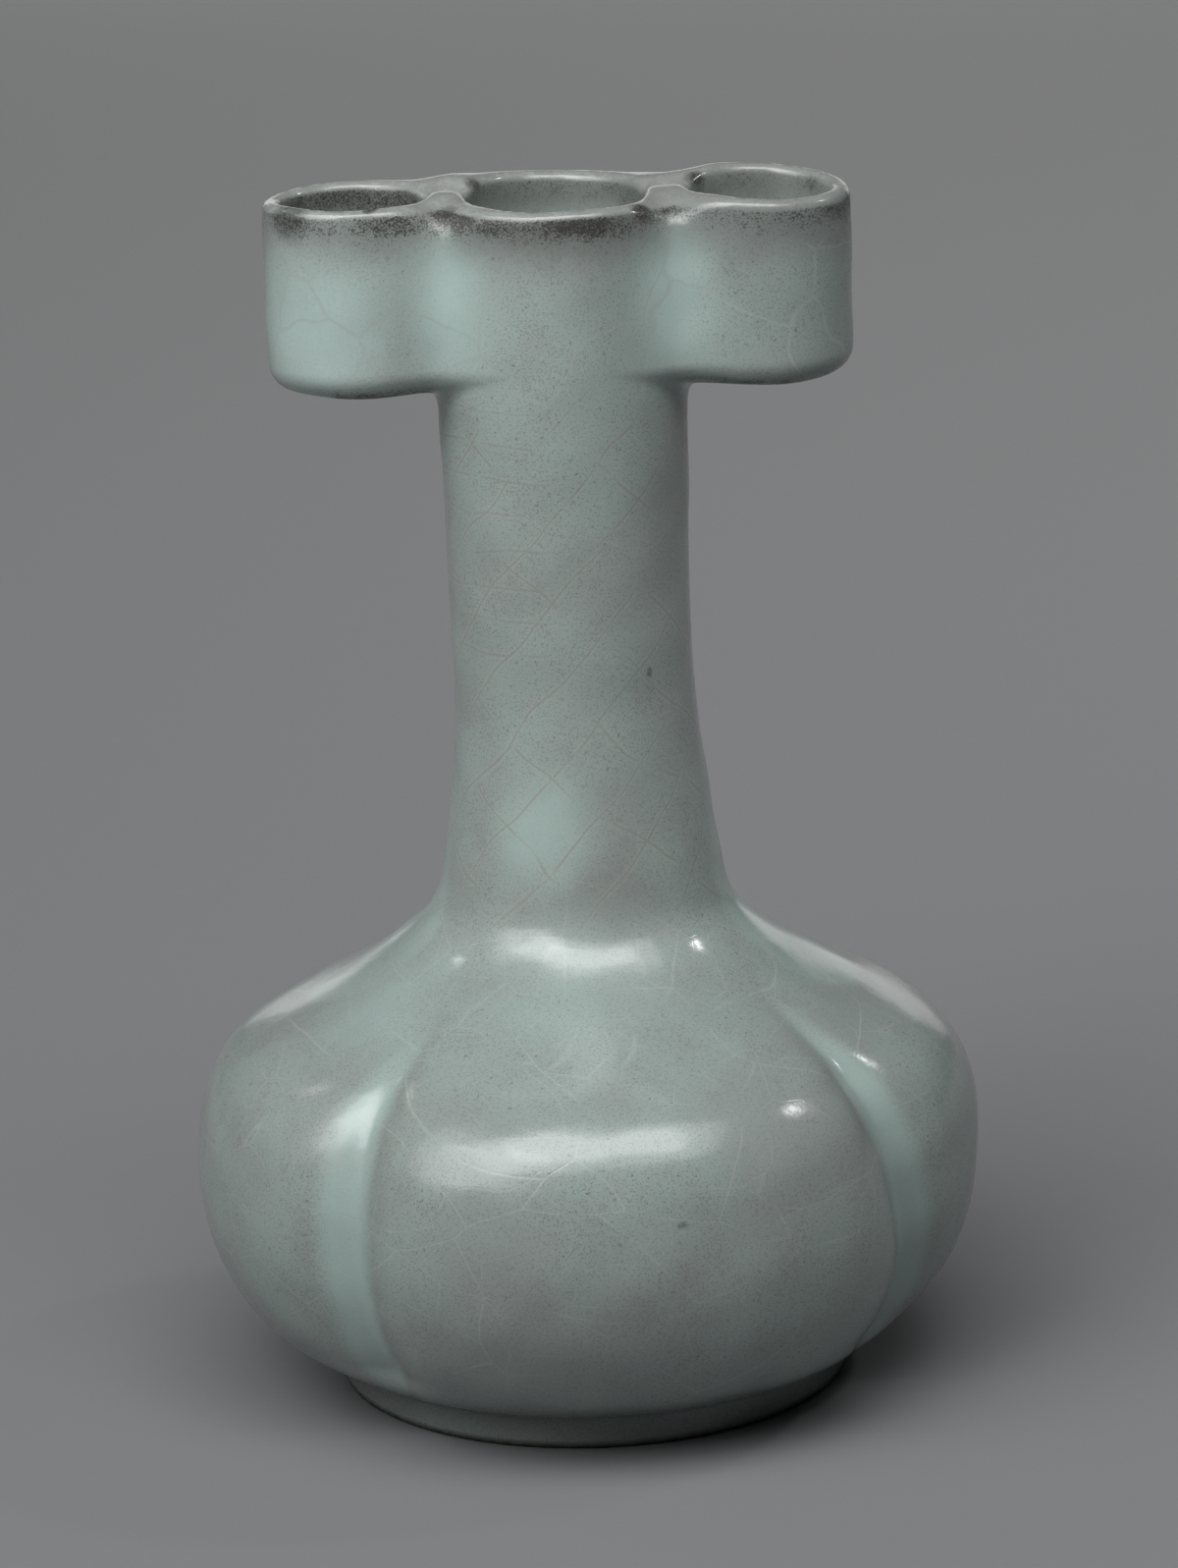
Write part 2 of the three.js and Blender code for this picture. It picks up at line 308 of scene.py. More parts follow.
# Level cracks on the left of the neck: their spacing and straying, the angles about the neck and
# the heights between which they end, and what breaks them off
LEVEL_CRACK_SPACING = 5.2
LEVEL_CRACK_STRAY = 0.8
LEVEL_CRACK_SIDE = (-0.35, 0.0, 1.0, 0.0)
LEVEL_CRACK_START, LEVEL_CRACK_END = (107, 112), (152, 157, 1.0, 0.0)
LEVEL_CRACK_BREAKS, LEVEL_BREAK_LEVELS = 7, (0.4, 0.5, 0.0, 0.7)

# The brown band below the lips: depths below the rim at which it starts and ends, how far its edge
# is smeared, the levels and shares in it, and what the pools and the inside take from it
BAND_START, BAND_END = (0.5, 1.5), (2, 8, 1.0, 0.0)
THIN_END = (2, 11, 0.8, 0.0)
RIM_SMEAR = 4
BAND_PATCHES = (0.3, 0.6, 0.7, 1.0)
BAND_SHARE = 0.6
LUG_BAND_SHARE, LUG_THIN_SHARE = 0.8, 0.5
POOL_BAND_LOSS = 0.65
INSIDE_LOSSES = (0.4, 0.1)
BITTEN = (1.3, 1.8, 0.0, 0.9)
EDGE_SMEARS = (0.3, 0.6, 0.4, 1.0)

# The worn lips, in the same way
LIP_END = (0.3, 1.3, 0.8, 0.0)
LIP_BLOTCHES = (0.36, 0.52, 0.45, 1.0)

# The burnt glaze inside the back lips: places towards the back and depths below the rim at which
# it starts and ends, its shares off and on the left lug, and the levels of the noises in it
BURNT_BACK, BURNT_BACK_SHARES = (0, 5), (0.32, 0.7)
BURNT_START, BURNT_END = (0.7, 1.4), (3, 6.5, 1.0, 0.0)
BURNT_PATCHES = (0.32, 0.6, 0.45, 1.0)
BURNT_GRAINS = (0.6, 0.95, 0.7, 1.0)

# Clouds and burnt spots in millimetres: the size and reach of their ragged edges, the share of
# the reach within which they are full, and the middle, reach and strength of each
CLOUD_EDGE, PAINTED_LIGHT_CORE, DULL_CORE = (8, 3), 0.15, 0.0
BURNT_EDGE, BURNT_CORE = (2, 0.9), 0.3
# The pale clouds are painted light: the left lug and the left lobe's top are painted paler where the
# light falls brighter, and painted highlights sit on the front of the neck and at its base
PAINTED_LIGHT_CLOUDS = (
    ((-36, -12, 163), 18, 1.0),
    ((-6, -20, 89), 13, 0.9),
    ((0, -27, 67), 18, 0.5),
    ((-29, -18, 62), 16, 0.7),
)
DULL_CLOUDS = (
    ((4, -20.5, 78), 11, 0.35),
    ((-20, -9, 177), 6, 0.5),
)
BURNT_SPOTS = (
    ((-26.8, -11.8, 180.2), 1.6, 0.95),
    ((-38.0, -9.0, 178.6), 4.5, 0.8),
    ((12.5, -13.0, 178.8), 2.9, 1.0),
    ((20.8, 5.6, 180.0), 2.8, 1.0),
    ((-11.8, 7.5, 180.0), 2.2, 0.8),
    ((-15.5, -8.5, 178.8), 2.0, 0.5),
    ((36.3, 5.2, 178.6), 3.0, 0.9),
    ((12.8, -56.9, 40.8), 1.0, 0.5),
    ((11.2, -14.0, 111.0), 0.8, 0.6),
)

# Roughness of smooth and dull patches, what is added to it below the glossy lips, and the
# roughness of the brown band and the bare clay
GLOSS_PATCHES = (0.3, 0.7, 0.13, 0.22)
LIP_GLOSS = (0.8, 1.6)
RIM_MATT = (3, 12, 0.05, 0.0)
BAND_ROUGHNESS = 0.42
BARE_ROUGHNESS = 0.85

# Relief: the shares of peel, grains and cracks in the bump, its strength, and its height
PEEL_HEIGHT = 0.5
GRAIN_HEIGHTS = (0.1, 0.5)
CRACK_DEPTH = 0.3
BUMP_STRENGTH, BUMP_HEIGHT = 0.35, 0.2


def node_box(name):
    """A node's lowest and highest corners in millimetres."""
    low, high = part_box(name)
    return np.array(low) / MM, np.array(high) / MM


_, foot_high = node_box("foot_ring")
shoulder_low, shoulder_high = node_box("shoulder")
_, neck_high = node_box("neck")
tube_low, tube_high = node_box("right_lug_tube")
floor_low, _ = node_box("right_lug_floor")

body_bottom = foot_high[2]
belly = shoulder_low[2]
neck_joint = shoulder_high[2]
rim = neck_high[2]
lug_bottom = floor_low[2]
lug_joint = tube_low[2]
foot_radius = foot_high[0]
neck_base_radius = neck_high[0]
lug_radius = tube_high[1]
lug_axis = tube_high[0] - lug_radius
lug_bore_radius = lug_radius - LUG_WALL
lug_side = lug_axis - (lug_bore_radius + lug_axis - NECK_RADIUS) / 2


def smoothstep(value, start, end):
    share = np.clip((value - start) / (end - start), 0, 1)
    return share * share * (3 - 2 * share)


def bell(value, middle, width):
    return np.exp(-((value - middle) / width) ** 2 / 2)


def smooth_min(a, b, reach):
    """Joins two solids with a fillet that starts where they are within reach of each other."""
    near = np.maximum(reach - np.abs(a - b), 0) / reach
    return np.minimum(a, b) - near ** 3 * reach / 6


def smooth_max(a, b, reach):
    return -smooth_min(-a, -b, reach)


def rounded_max(a, b, radius):
    """What two solids that meet at a right angle have in common, with the edge rounded."""
    a, b = a + radius, b + radius
    return np.hypot(np.maximum(a, 0), np.maximum(b, 0)) + np.minimum(np.maximum(a, b), 0) - radius


def curve(start, leaving, arriving, end):
    """Points of a cubic curve, without its last, by its ends and its control points from them."""
    t = np.linspace(0, 1, CURVE_STEPS, endpoint=False)[:, None]
    start, end = np.array(start, float), np.array(end, float)
    ends = (start, start + leaving, end + arriving, end)
    shares = ((1 - t) ** 3, 3 * t * (1 - t) ** 2, 3 * t ** 2 * (1 - t), t ** 3)
    return sum(share * point for share, point in zip(shares, ends))


def outline_distance(outline, r, z):
    """Signed distance to a form turned from an outline that runs from axis to axis."""
    nearest = np.full(r.shape, np.inf)
    inside = np.zeros(r.shape, bool)
    for (r0, z0), (r1, z1) in zip(outline[:-1], outline[1:]):
        dr, dz = r1 - r0, z1 - z0
        along = np.clip(((r - r0) * dr + (z - z0) * dz) / (dr * dr + dz * dz), 0, 1)
        nearest = np.minimum(nearest, (r - r0 - along * dr) ** 2 + (z - z0 - along * dz) ** 2)
        crosses = (z0 > z) != (z1 > z)
        if dz:
            inside ^= crosses & (r < r0 + (z - z0) / dz * dr)
    return np.where(inside, -1, 1) * np.sqrt(nearest)


def vessel_outline():
    """Half the section of the body and the neck, from the axis below to the axis above."""
    collar = neck_joint + NECK_COLLAR_RISE
    waist = neck_joint + NECK_WAIST_RISE
    taper = NECK_COLLAR_TAPER * NECK_COLLAR_REACH
    above = rim + SECTION_MARGIN * 2
    places = [
        (FOOT_TOP_RADIUS, body_bottom),
        (BELLY_RADIUS, belly),
        (neck_base_radius, neck_joint),
        (NECK_COLLAR_RADIUS, collar),
        (NECK_WAIST_RADIUS, waist),
        (NECK_RADIUS, lug_bottom),
    ]
    leaving = [
        (UNDERSIDE_REACH, UNDERSIDE_RISE),
        (0, BELLY_RISE),
        (-NECK_FLARE_REACH, NECK_FLARE_RISE),
        (-taper, NECK_COLLAR_REACH),
        (0, NECK_WAIST_DROP),
    ]
    arriving = [
        (0, -BELLY_DROP),
        (SHOULDER_REACH, -SHOULDER_FALL),
        (taper, -NECK_COLLAR_REACH),
        (0, -NECK_WAIST_DROP),
        (0, -NECK_WAIST_DROP),
    ]
    curves = map(curve, places[:-1], leaving, arriving, places[1:])
    return np.vstack([[(0, body_bottom)], *curves, [places[-1], (NECK_RADIUS, above), (0, above)]])


def foot_outline():
    inset = FOOT_EDGE
    return np.array([
        (0, inset),
        (foot_radius - inset, inset),
        (FOOT_TOP_RADIUS - inset, body_bottom),
        (FOOT_TOP_RADIUS - inset, body_bottom + inset),
        (0, body_bottom + inset),
    ])


class Section:
    """A turned form's signed distances on a grid of radius and height, read back smoothly."""

    def __init__(self, distance):
        self.r = np.arange(-SECTION_MARGIN, BELLY_RADIUS + 2 * SECTION_MARGIN, SECTION_STEP)
        self.z = np.arange(-SECTION_MARGIN, rim + SECTION_MARGIN * 1.5, SECTION_STEP)
        self.values = distance(*np.meshgrid(np.abs(self.r), self.z, indexing="ij"))

    @staticmethod
    def shares(t):
        """The shares of four neighbours in the value between the middle two."""
        return (
            ((2 - t) * t - 1) * t / 2,
            ((3 * t - 5) * t * t + 2) / 2,
            ((4 - 3 * t) * t + 1) * t / 2,
            (t - 1) * t * t / 2,
        )

    def at(self, r, z):
        row = np.clip((r - self.r[0]) / SECTION_STEP, 1, len(self.r) - SECTION_READ_MARGIN)
        column = np.clip((z - self.z[0]) / SECTION_STEP, 1, len(self.z) - SECTION_READ_MARGIN)
        i, j = row.astype(int), column.astype(int)
        across, up = self.shares(row - i), self.shares(column - j)
        total = 0
        for a in range(4):
            line = sum(up[b] * self.values[i + a - 1, j + b - 1] for b in range(4))
            total = total + across[a] * line
        return total


vessel = Section(lambda r, z: outline_distance(vessel_outline(), r, z))
foot = Section(lambda r, z: outline_distance(foot_outline(), r, z) - FOOT_EDGE)


def from_groove(x, y, z):
    """The angle of a place from the middle of the nearest groove between lobes."""
    groove = LOBE_TURN - math.pi / 2 + math.pi / LOBE_COUNT
    turn = np.arctan2(y, x)
    lobe = 2 * math.pi / LOBE_COUNT
    by_right_groove = np.maximum(np.cos(turn - groove), 0) ** 2
    by_left_groove = np.maximum(np.cos(turn - groove + lobe), 0) ** 2
    low = 1 - smoothstep(z, *RIGHT_GROOVE_HEIGHTS)
    moved = by_right_groove * (RIGHT_GROOVE_SWERVE * low - RIGHT_GROOVE_SHIFT)
    moved = moved - by_left_groove * LEFT_GROOVE_SHIFT
    return (turn - groove - moved + lobe / 2) % lobe - lobe / 2


def groove_strength(z):
    """How deep the grooves are at a height, from 0 at their ends to 1."""
    below = smoothstep(z, body_bottom, body_bottom + GROOVE_FADE_BELOW)
    return below * (1 - smoothstep(z, neck_joint - GROOVE_FADE_ABOVE, neck_joint))


def beside_groove(x, y, z):
    """Distance from the middle of the nearest groove, stretched where the groove narrows.

    It is positive towards the front or back lobe, and negative towards the lobe at the side."""
    width = GROOVE_NARROWING + (1 - GROOVE_NARROWING) * groove_strength(z)
    return from_groove(x, y, z) * np.where(x * y < 0, -1, 1) * BELLY_RADIUS / width


def partition_share(x):
    """1 on the walls between mouth and lugs, and 0 elsewhere."""
    return bell(np.abs(x), PARTITION_PLACE, PARTITION_WIDTH)


def front_share(y):
    """0 on the crests of the walls between mouth and lugs, and 1 at the front valleys."""
    return smoothstep(-y, *FRONT_FALL_PLACES)


def rim_height(x, y):
    """Height of the lips: the neck's mouth is level, and the lugs' lips are not."""
    inner, outer = NECK_RADIUS - NECK_WALL, lug_axis - lug_bore_radius / 2
    tilt = RIGHT_LIP_RISE + RIGHT_LIP_SLOPE * y - RIGHT_LIP_FALL * (x - lug_axis)
    right = smoothstep(x, inner, outer) * tilt
    left = smoothstep(-x, inner, outer) * LEFT_LIP_RISE
    course = np.where(x < 0, LEFT_CREST, RIGHT_CREST) - FRONT_FALL * front_share(y)
    course -= HOLLOW_DEPTH * bell(y, HOLLOW_PLACE, HOLLOW_WIDTH)
    back = MOUTH_BACK_RISE * bell(x, MOUTH_BACK_PLACE, MOUTH_BACK_WIDTH)
    back *= smoothstep(y, 0, 2 * HOLLOW_PLACE)
    return rim - LIP_LOSS + right + left + back + partition_share(x) * course


def hand_waves(x, y, z):
    total = 0
    for length, (a, b, c), height in HAND_WAVES:
        total = total + height * np.sin((a * x + b * y + c * z) * 2 * math.pi / length + length)
    return total


def clay(x, y, z):
    """Signed distance to the surface of the fired vase, negative inside the wall."""
    x = x - NECK_BOW * bell(z, NECK_BOW_HEIGHT, NECK_BOW_LENGTH)
    hollow = ((1 + np.cos(LOBE_COUNT * from_groove(x, y, z))) / 2) ** LOBE_ROUNDNESS
    away = np.hypot(beside_groove(x, y, z), GROOVE_ROUNDING) - GROOVE_ROUNDING
    pressed = GROOVE_DEPTH * np.exp(-away / GROOVE_FLANK) + LOBE_SWELL * hollow
    radius = np.hypot(x, y)
    turned_radius = radius / (1 - groove_strength(z) * pressed / BELLY_RADIUS)

    from_lug = np.hypot(np.abs(x) - lug_axis, y)
    tube = from_lug - lug_radius
    lug = rounded_max(tube, lug_bottom - z, LUG_FLOOR_ROUNDING)
    bore_floor = lug_joint + BORE_FLOOR_RISE
    lug_bore = rounded_max(from_lug - lug_bore_radius, bore_floor - z, BORE_FLOOR_ROUNDING)

    wall_heights = (body_bottom, belly, neck_joint, neck_joint + NECK_WAIST_DROP)
    wall = np.interp(z, wall_heights, (BASE_WALL, BODY_WALL, BODY_WALL, NECK_WALL))
    by_lug = np.exp(-(y / lug_radius) ** 2) * smoothstep(np.abs(x), 0, NECK_RADIUS)
    wall = wall + PARTITION_FILL * by_lug * smoothstep(z, lug_joint, rim)

    vessel_outside = vessel.at(turned_radius, z)
    outside = smooth_min(vessel_outside, foot.at(radius, z), FOOT_JOINT_REACH)
    outside = smooth_min(outside, lug, UNDER_LUG_REACH)
    # The valleys beside the lugs are wiped full, straight down to the lugs' rounded bottoms.
    wiped = smooth_min(vessel_outside, tube, VALLEY_REACH)
    fillet = np.maximum(np.minimum(vessel_outside, tube) - wiped, LEAST_FILLET)
    valley = rounded_max(wiped, lug_bottom - z, LUG_FLOOR_ROUNDING)
    outside = smooth_min(outside, valley, fillet)
    recess_radius = FOOT_TOP_RADIUS - FOOT_WALL
    recess = rounded_max(radius - recess_radius, z - body_bottom - FOOT_RECESS, FOOT_EDGE)

    in_valley = partition_share(x) * front_share(y)
    lip_reach = LIP_REACH + (VALLEY_LIP_REACH - LIP_REACH) * in_valley
    form = smooth_max(outside, z - rim_height(x, y), lip_reach)
    form = smooth_max(form, -(vessel_outside + wall), LIP_REACH)
    form = smooth_max(form, -lug_bore, LIP_REACH)
    form = smooth_max(form, -recess, FOOT_EDGE)
    return form + hand_waves(x, y, z) * smoothstep(z, 0, body_bottom)


def clay_on_grid():
    """The clay's distances on a grid about the vase, with the grid's lowest corner."""
    margin = MESH_MARGIN * MESH_STEP
    top = rim + RIGHT_LIP_RISE + LEFT_CREST
    reach = np.array([BELLY_RADIUS, BELLY_RADIUS, top]) + margin
    low = np.array([-reach[0], -reach[1], -margin])
    axes = [np.arange(a, b, MESH_STEP) for a, b in zip(low, reach)]
    slabs = np.array_split(axes[2], len(axes[2]) // SLAB_LAYERS)
    values = [clay(*np.meshgrid(axes[0], axes[1], slab, indexing="ij")) for slab in slabs]
    return np.concatenate(values, axis=2), low


def surface_net(values, low):
    """Points and four-sided faces of the surface where the values change sign."""
    inside = values < 0
    shape = np.array(values.shape) - 1
    corners = [(i, j, k) for i in (0, 1) for j in (0, 1) for k in (0, 1)]
    counts = np.zeros(shape, np.int8)
    for i, j, k in corners:
        counts += inside[i:i + shape[0], j:j + shape[1], k:k + shape[2]]
    cells = np.argwhere((counts > 0) & (counts < len(corners)))
    numbers = np.full(shape, -1)
    numbers[tuple(cells.T)] = np.arange(len(cells))

    total, crossings = np.zeros((len(cells), 3)), np.zeros(len(cells))
    faces = []
    steps = np.eye(3, dtype=int)
    for axis in range(3):
        along, side, up = steps[axis], steps[(axis + 1) % 3], steps[(axis + 2) % 3]
        for offset in (0 * side, side, up, side + up):
            start = values[tuple((cells + offset).T)]
            end = values[tuple((cells + offset + along).T)]
            crossed = (start < 0) != (end < 0)
            share = np.where(crossed, start / np.where(crossed, start - end, 1), 0)
            total += crossed[:, None] * (offset + share[:, None] * along)
            crossings += crossed
        window = [slice(0, n) for n in shape]
        beyond = list(window)
        beyond[axis] = slice(1, shape[axis] + 1)
        edges = np.argwhere(inside[tuple(window)] != inside[tuple(beyond)])
        round_edge = [numbers[tuple((edges - back).T)] for back in (side + up, up, 0 * side, side)]
        quads = np.stack(round_edge, axis=1)
        outward = inside[tuple(edges.T)]
        faces.append(np.where(outward[:, None], quads, quads[:, ::-1]))
    points = low + MESH_STEP * (cells + total / crossings[:, None])
    return points, np.vstack(faces)


def slope(points, reach):
    """The clay's gradient at points, which faces straight out of its surface."""
    columns = []
    for step in reach * np.eye(3):
        columns.append(clay(*(points + step).T) - clay(*(points - step).T))
    return np.stack(columns, axis=1) / (2 * reach)


def settled(points):
    """The points moved straight onto the surface."""
    out = slope(points, SETTLE_REACH)
    return points - out * (clay(*points.T) / (out ** 2).sum(axis=1))[:, None]


def relaxed(points, quads):
    """The points moved to the middle of their neighbours, so that the faces even out."""
    total, count = np.zeros_like(points), np.zeros(len(points))
    for a in range(4):
        for b in ((a + 1) % 4, (a + 3) % 4):
            count += np.bincount(quads[:, a], minlength=len(points))
            for axis in range(3):
                weights = points[quads[:, b], axis]
                total[:, axis] += np.bincount(quads[:, a], weights, minlength=len(points))
    return total / count[:, None]


def whole_vase():
    """The vase as one closed mesh."""
    points, quads = surface_net(*clay_on_grid())
    points = settled(points)
    for _ in range(RELAX_ROUNDS):
        points = settled(relaxed(points, quads))
    mesh = bpy.data.meshes.new("whole_vase")
    mesh.from_pydata(points.tolist(), [], quads.tolist())
    whole = bmesh.new()
    whole.from_mesh(mesh)
    bpy.data.meshes.remove(mesh)
    return whole


def cut(whole, place, direction, chosen):
    """Cuts the chosen faces along a plane, without parting them."""
    faces = [face for face in whole.faces if chosen(face.calc_center_median())]
    edges = {edge for face in faces for edge in face.edges}
    verts = {vert for face in faces for vert in face.verts}
    geometry = [*verts, *edges, *faces]
    bmesh.ops.bisect_plane(whole, geom=geometry, dist=SAME_PLACE, plane_co=place, plane_no=direction)


def beside_lug(centre):
    return centre[2] > lug_bottom - UNDER_LUG_REACH


def in_lug(centre):
    return beside_lug(centre) and abs(centre[0]) > lug_side


def cut_at_joints(whole):
    margin = MESH_MARGIN * MESH_STEP
    for height in (body_bottom, belly, neck_joint):
        cut(whole, (0, 0, height), (0, 0, 1), lambda c, h=height: abs(c.z - h) < margin)
    for side in (-1, 1):
        cut(whole, (side * lug_side, 0, 0), (1, 0, 0), beside_lug)
    cut(whole, (0, 0, lug_joint), (0, 0, 1), in_lug)


def piece_name(centre):
    """The name of the piece that a face with this centre belongs to."""
    if in_lug(centre):
        side = "right" if centre[0] > 0 else "left"
        return f"{side}_lug_tube" if centre[2] > lug_joint else f"{side}_lug_floor"
    joints = ((body_bottom, "foot_ring"), (belly, "lower_body"), (neck_joint, "shoulder"))
    for height, name in joints:
        if centre[2] < height:
            return name
    return "neck"


def joint_planes(place):
    """The joints' planes that a place lies on, as pairs of axis and distance."""
    planes = [(2, body_bottom), (2, belly), (2, neck_joint), (2, lug_joint)]
    planes += [(0, -lug_side), (0, lug_side)]
    return {plane for plane in planes if abs(place[plane[0]] - plane[1]) < ON_JOINT}


def close_cuts(part):
    """Fills a piece's open edges, plane by plane. Where two planes meet, an edge joins them."""
    open_edges = {}
    corners = {}
    for edge in part.edges:
        if not edge.is_boundary:
            continue
        first, second = (joint_planes(vert.co) for vert in edge.verts)
        for plane in first & second:
            open_edges.setdefault(plane, []).append(edge)
        for vert, planes in zip(edge.verts, (first, second)):
            if len(planes) == 2:
                corners.setdefault(frozenset(planes), set()).add(vert)
    for planes, verts in corners.items():
        if planes <= open_edges.keys():
            fold = part.edges.new(tuple(verts))
            for plane in planes:
                open_edges[plane].append(fold)
    for edges in open_edges.values():
        bmesh.ops.triangle_fill(part, edges=edges, use_beauty=True, use_dissolve=False)
    bmesh.ops.recalc_face_normals(part, faces=part.faces)


def attribute(mesh, name, values):
    layer = mesh.attributes.new(name, "FLOAT", "POINT")
    layer.data.foreach_set("value", np.asarray(values, np.float32))


def glaze_attributes(mesh, points):
    """Where the glaze lies thin, partly as painted shade, and thick, how far below the lips a point
    is, and the bare foot.
    """
    x, y, z = points.T
    beside = beside_groove(x, y, z)
    deep = groove_strength(z)
    # The darker flanks beside the grooves: partly thin glaze and partly painted shade where the
    # front and back lobes turn away from the light.
    start, thinnest, end = GROOVE_RIDGE
    ridge = smoothstep(beside, start, thinnest) * (1 - smoothstep(beside, thinnest, end))
    attribute(mesh, "ridge", ridge * deep)

    in_mouth = 1 - smoothstep(np.hypot(x, y), NECK_RADIUS - NECK_WALL, NECK_RADIUS)
    from_lug = np.hypot(np.abs(x) - lug_axis, y)
    in_lug_bore = 1 - smoothstep(from_lug, lug_bore_radius, lug_radius)
    inside = np.maximum(in_mouth, in_lug_bore)
    attribute(mesh, "inside", inside)

    in_groove = 1 - smoothstep(np.abs(beside + GROOVE_POOL_SHIFT), *GROOVE_POOL)
    in_groove *= deep ** GROOVE_POOL_FADE
    in_valley = bell(np.abs(x), VALLEY_POOL_PLACE, VALLEY_POOL_WIDTH)
    in_valley *= smoothstep(z - lug_bottom, *VALLEY_POOL_START)
    in_valley *= smoothstep(rim - z, 0, VALLEY_POOL_TOP) * (1 - inside)
    in_bore = INSIDE_POOL * inside * smoothstep(rim - z, *INSIDE_POOL_REACH)
    attribute(mesh, "pool", np.maximum.reduce((in_groove, in_valley, in_bore)))

    # The dark line on the lugs' lower edges: partly thin glaze and partly painted shade under the
    # lugs.
    from_edge = np.abs(z - lug_bottom) / LUG_EDGE_RISE
    beyond_neck = smoothstep(np.hypot(x, y), NECK_RADIUS, NECK_RADIUS + LUG_EDGE_RISE)
    attribute(mesh, "lug_edge", (1 - smoothstep(from_edge, 0, 1)) * beyond_neck)
    attribute(mesh, "below_rim", rim_height(x, y) - z)
    attribute(mesh, "bare", 1 - smoothstep(z, *BARE_FOOT_END))


def smooth_normals(mesh, out, wall_count):
    """Gives the walls the form's own normals, so that no joint shows, and leaves the cuts flat."""
    loops = np.empty(len(mesh.loops), int)
    mesh.loops.foreach_get("vertex_index", loops)
    normals = out[loops]
    for face in mesh.polygons[wall_count:]:
        normals[face.loop_indices] = face.normal
    mesh.normals_split_custom_set(normals.tolist())


def make_piece(name, faces, points):
    """One closed piece of the vase from its faces of the whole form."""
    used = np.unique(np.concatenate(faces))
    numbers = dict(zip(used.tolist(), range(len(used))))
    mesh = bpy.data.meshes.new(name)
    mesh.from_pydata(points[used].tolist(), [], [[numbers[v] for v in face] for face in faces])
    part = bmesh.new()
    part.from_mesh(mesh)
    close_cuts(part)
    part.to_mesh(mesh)
    part.free()
    mesh.shade_smooth()
    out = slope(points[used], NORMAL_REACH)
    out /= np.linalg.norm(out, axis=1)[:, None]
    glaze_attributes(mesh, points[used])
    smooth_normals(mesh, out, len(faces))
    mesh.transform(Matrix.Scale(MM, 4))
    piece = bpy.data.objects.new(name, mesh)
    bpy.context.collection.objects.link(piece)
    return piece


def make_vase():
    """The pieces of the vase by name."""
    whole = whole_vase()
    cut_at_joints(whole)
    whole.verts.index_update()
    points = np.array([vert.co for vert in whole.verts])
    faces = {}
    for face in whole.faces:
        name = piece_name(face.calc_center_median())
        faces.setdefault(name, []).append([vert.index for vert in face.verts])
    whole.free()
    return {name: make_piece(name, found, points) for name, found in faces.items()}


pieces = make_vase()
for name, piece in pieces.items():
    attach(piece, "root")
    nodes = [name]
    if name.endswith("_tube"):
        side = name.split("_")[0]
        nodes += [f"{side}_lug_front_coil", f"{side}_lug_back_coil"]
    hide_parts(*nodes)


def look_at(thing, place, aim, roll=0.0):
    """Turns a camera or a lamp at a place towards an aim."""
    turn = (Vector(aim) - Vector(place)).to_track_quat("-Z", "Y").to_matrix().to_4x4()
    thing.matrix_world = Matrix.Translation(place) @ turn @ Matrix.Rotation(roll, 4, "Z")


def make_camera():
    data = bpy.data.cameras.new("camera")
    camera = bpy.data.objects.new("camera", data)
    bpy.context.collection.objects.link(camera)
    data.sensor_width = SENSOR_WIDTH
    data.lens = SENSOR_WIDTH * FOCAL_PIXELS / PHOTO_HEIGHT
    place = Vector(CAMERA_PLACE) * MM
    look_at(camera, place, Vector(CAMERA_AIM) * MM, CAMERA_ROLL)
    bpy.context.scene.camera = camera


def area_lamp(name, place, size, roll, watts):
    data = bpy.data.lights.new(name, "AREA")
    data.shape = "RECTANGLE"
    data.size, data.size_y = size
    data.energy = watts
    lamp = bpy.data.objects.new(name, data)
    bpy.context.collection.objects.link(lamp)
    look_at(lamp, place, (0, 0, rim / 2 * MM), math.radians(roll))


def make_world():
    world = bpy.data.worlds.new("world")
    world.use_nodes = True
    background = world.node_tree.nodes["Background"]
    background.inputs["Color"].default_value = (*WORLD_COLOUR, 1)
    background.inputs["Strength"].default_value = WORLD_STRENGTH
    bpy.context.scene.world = world


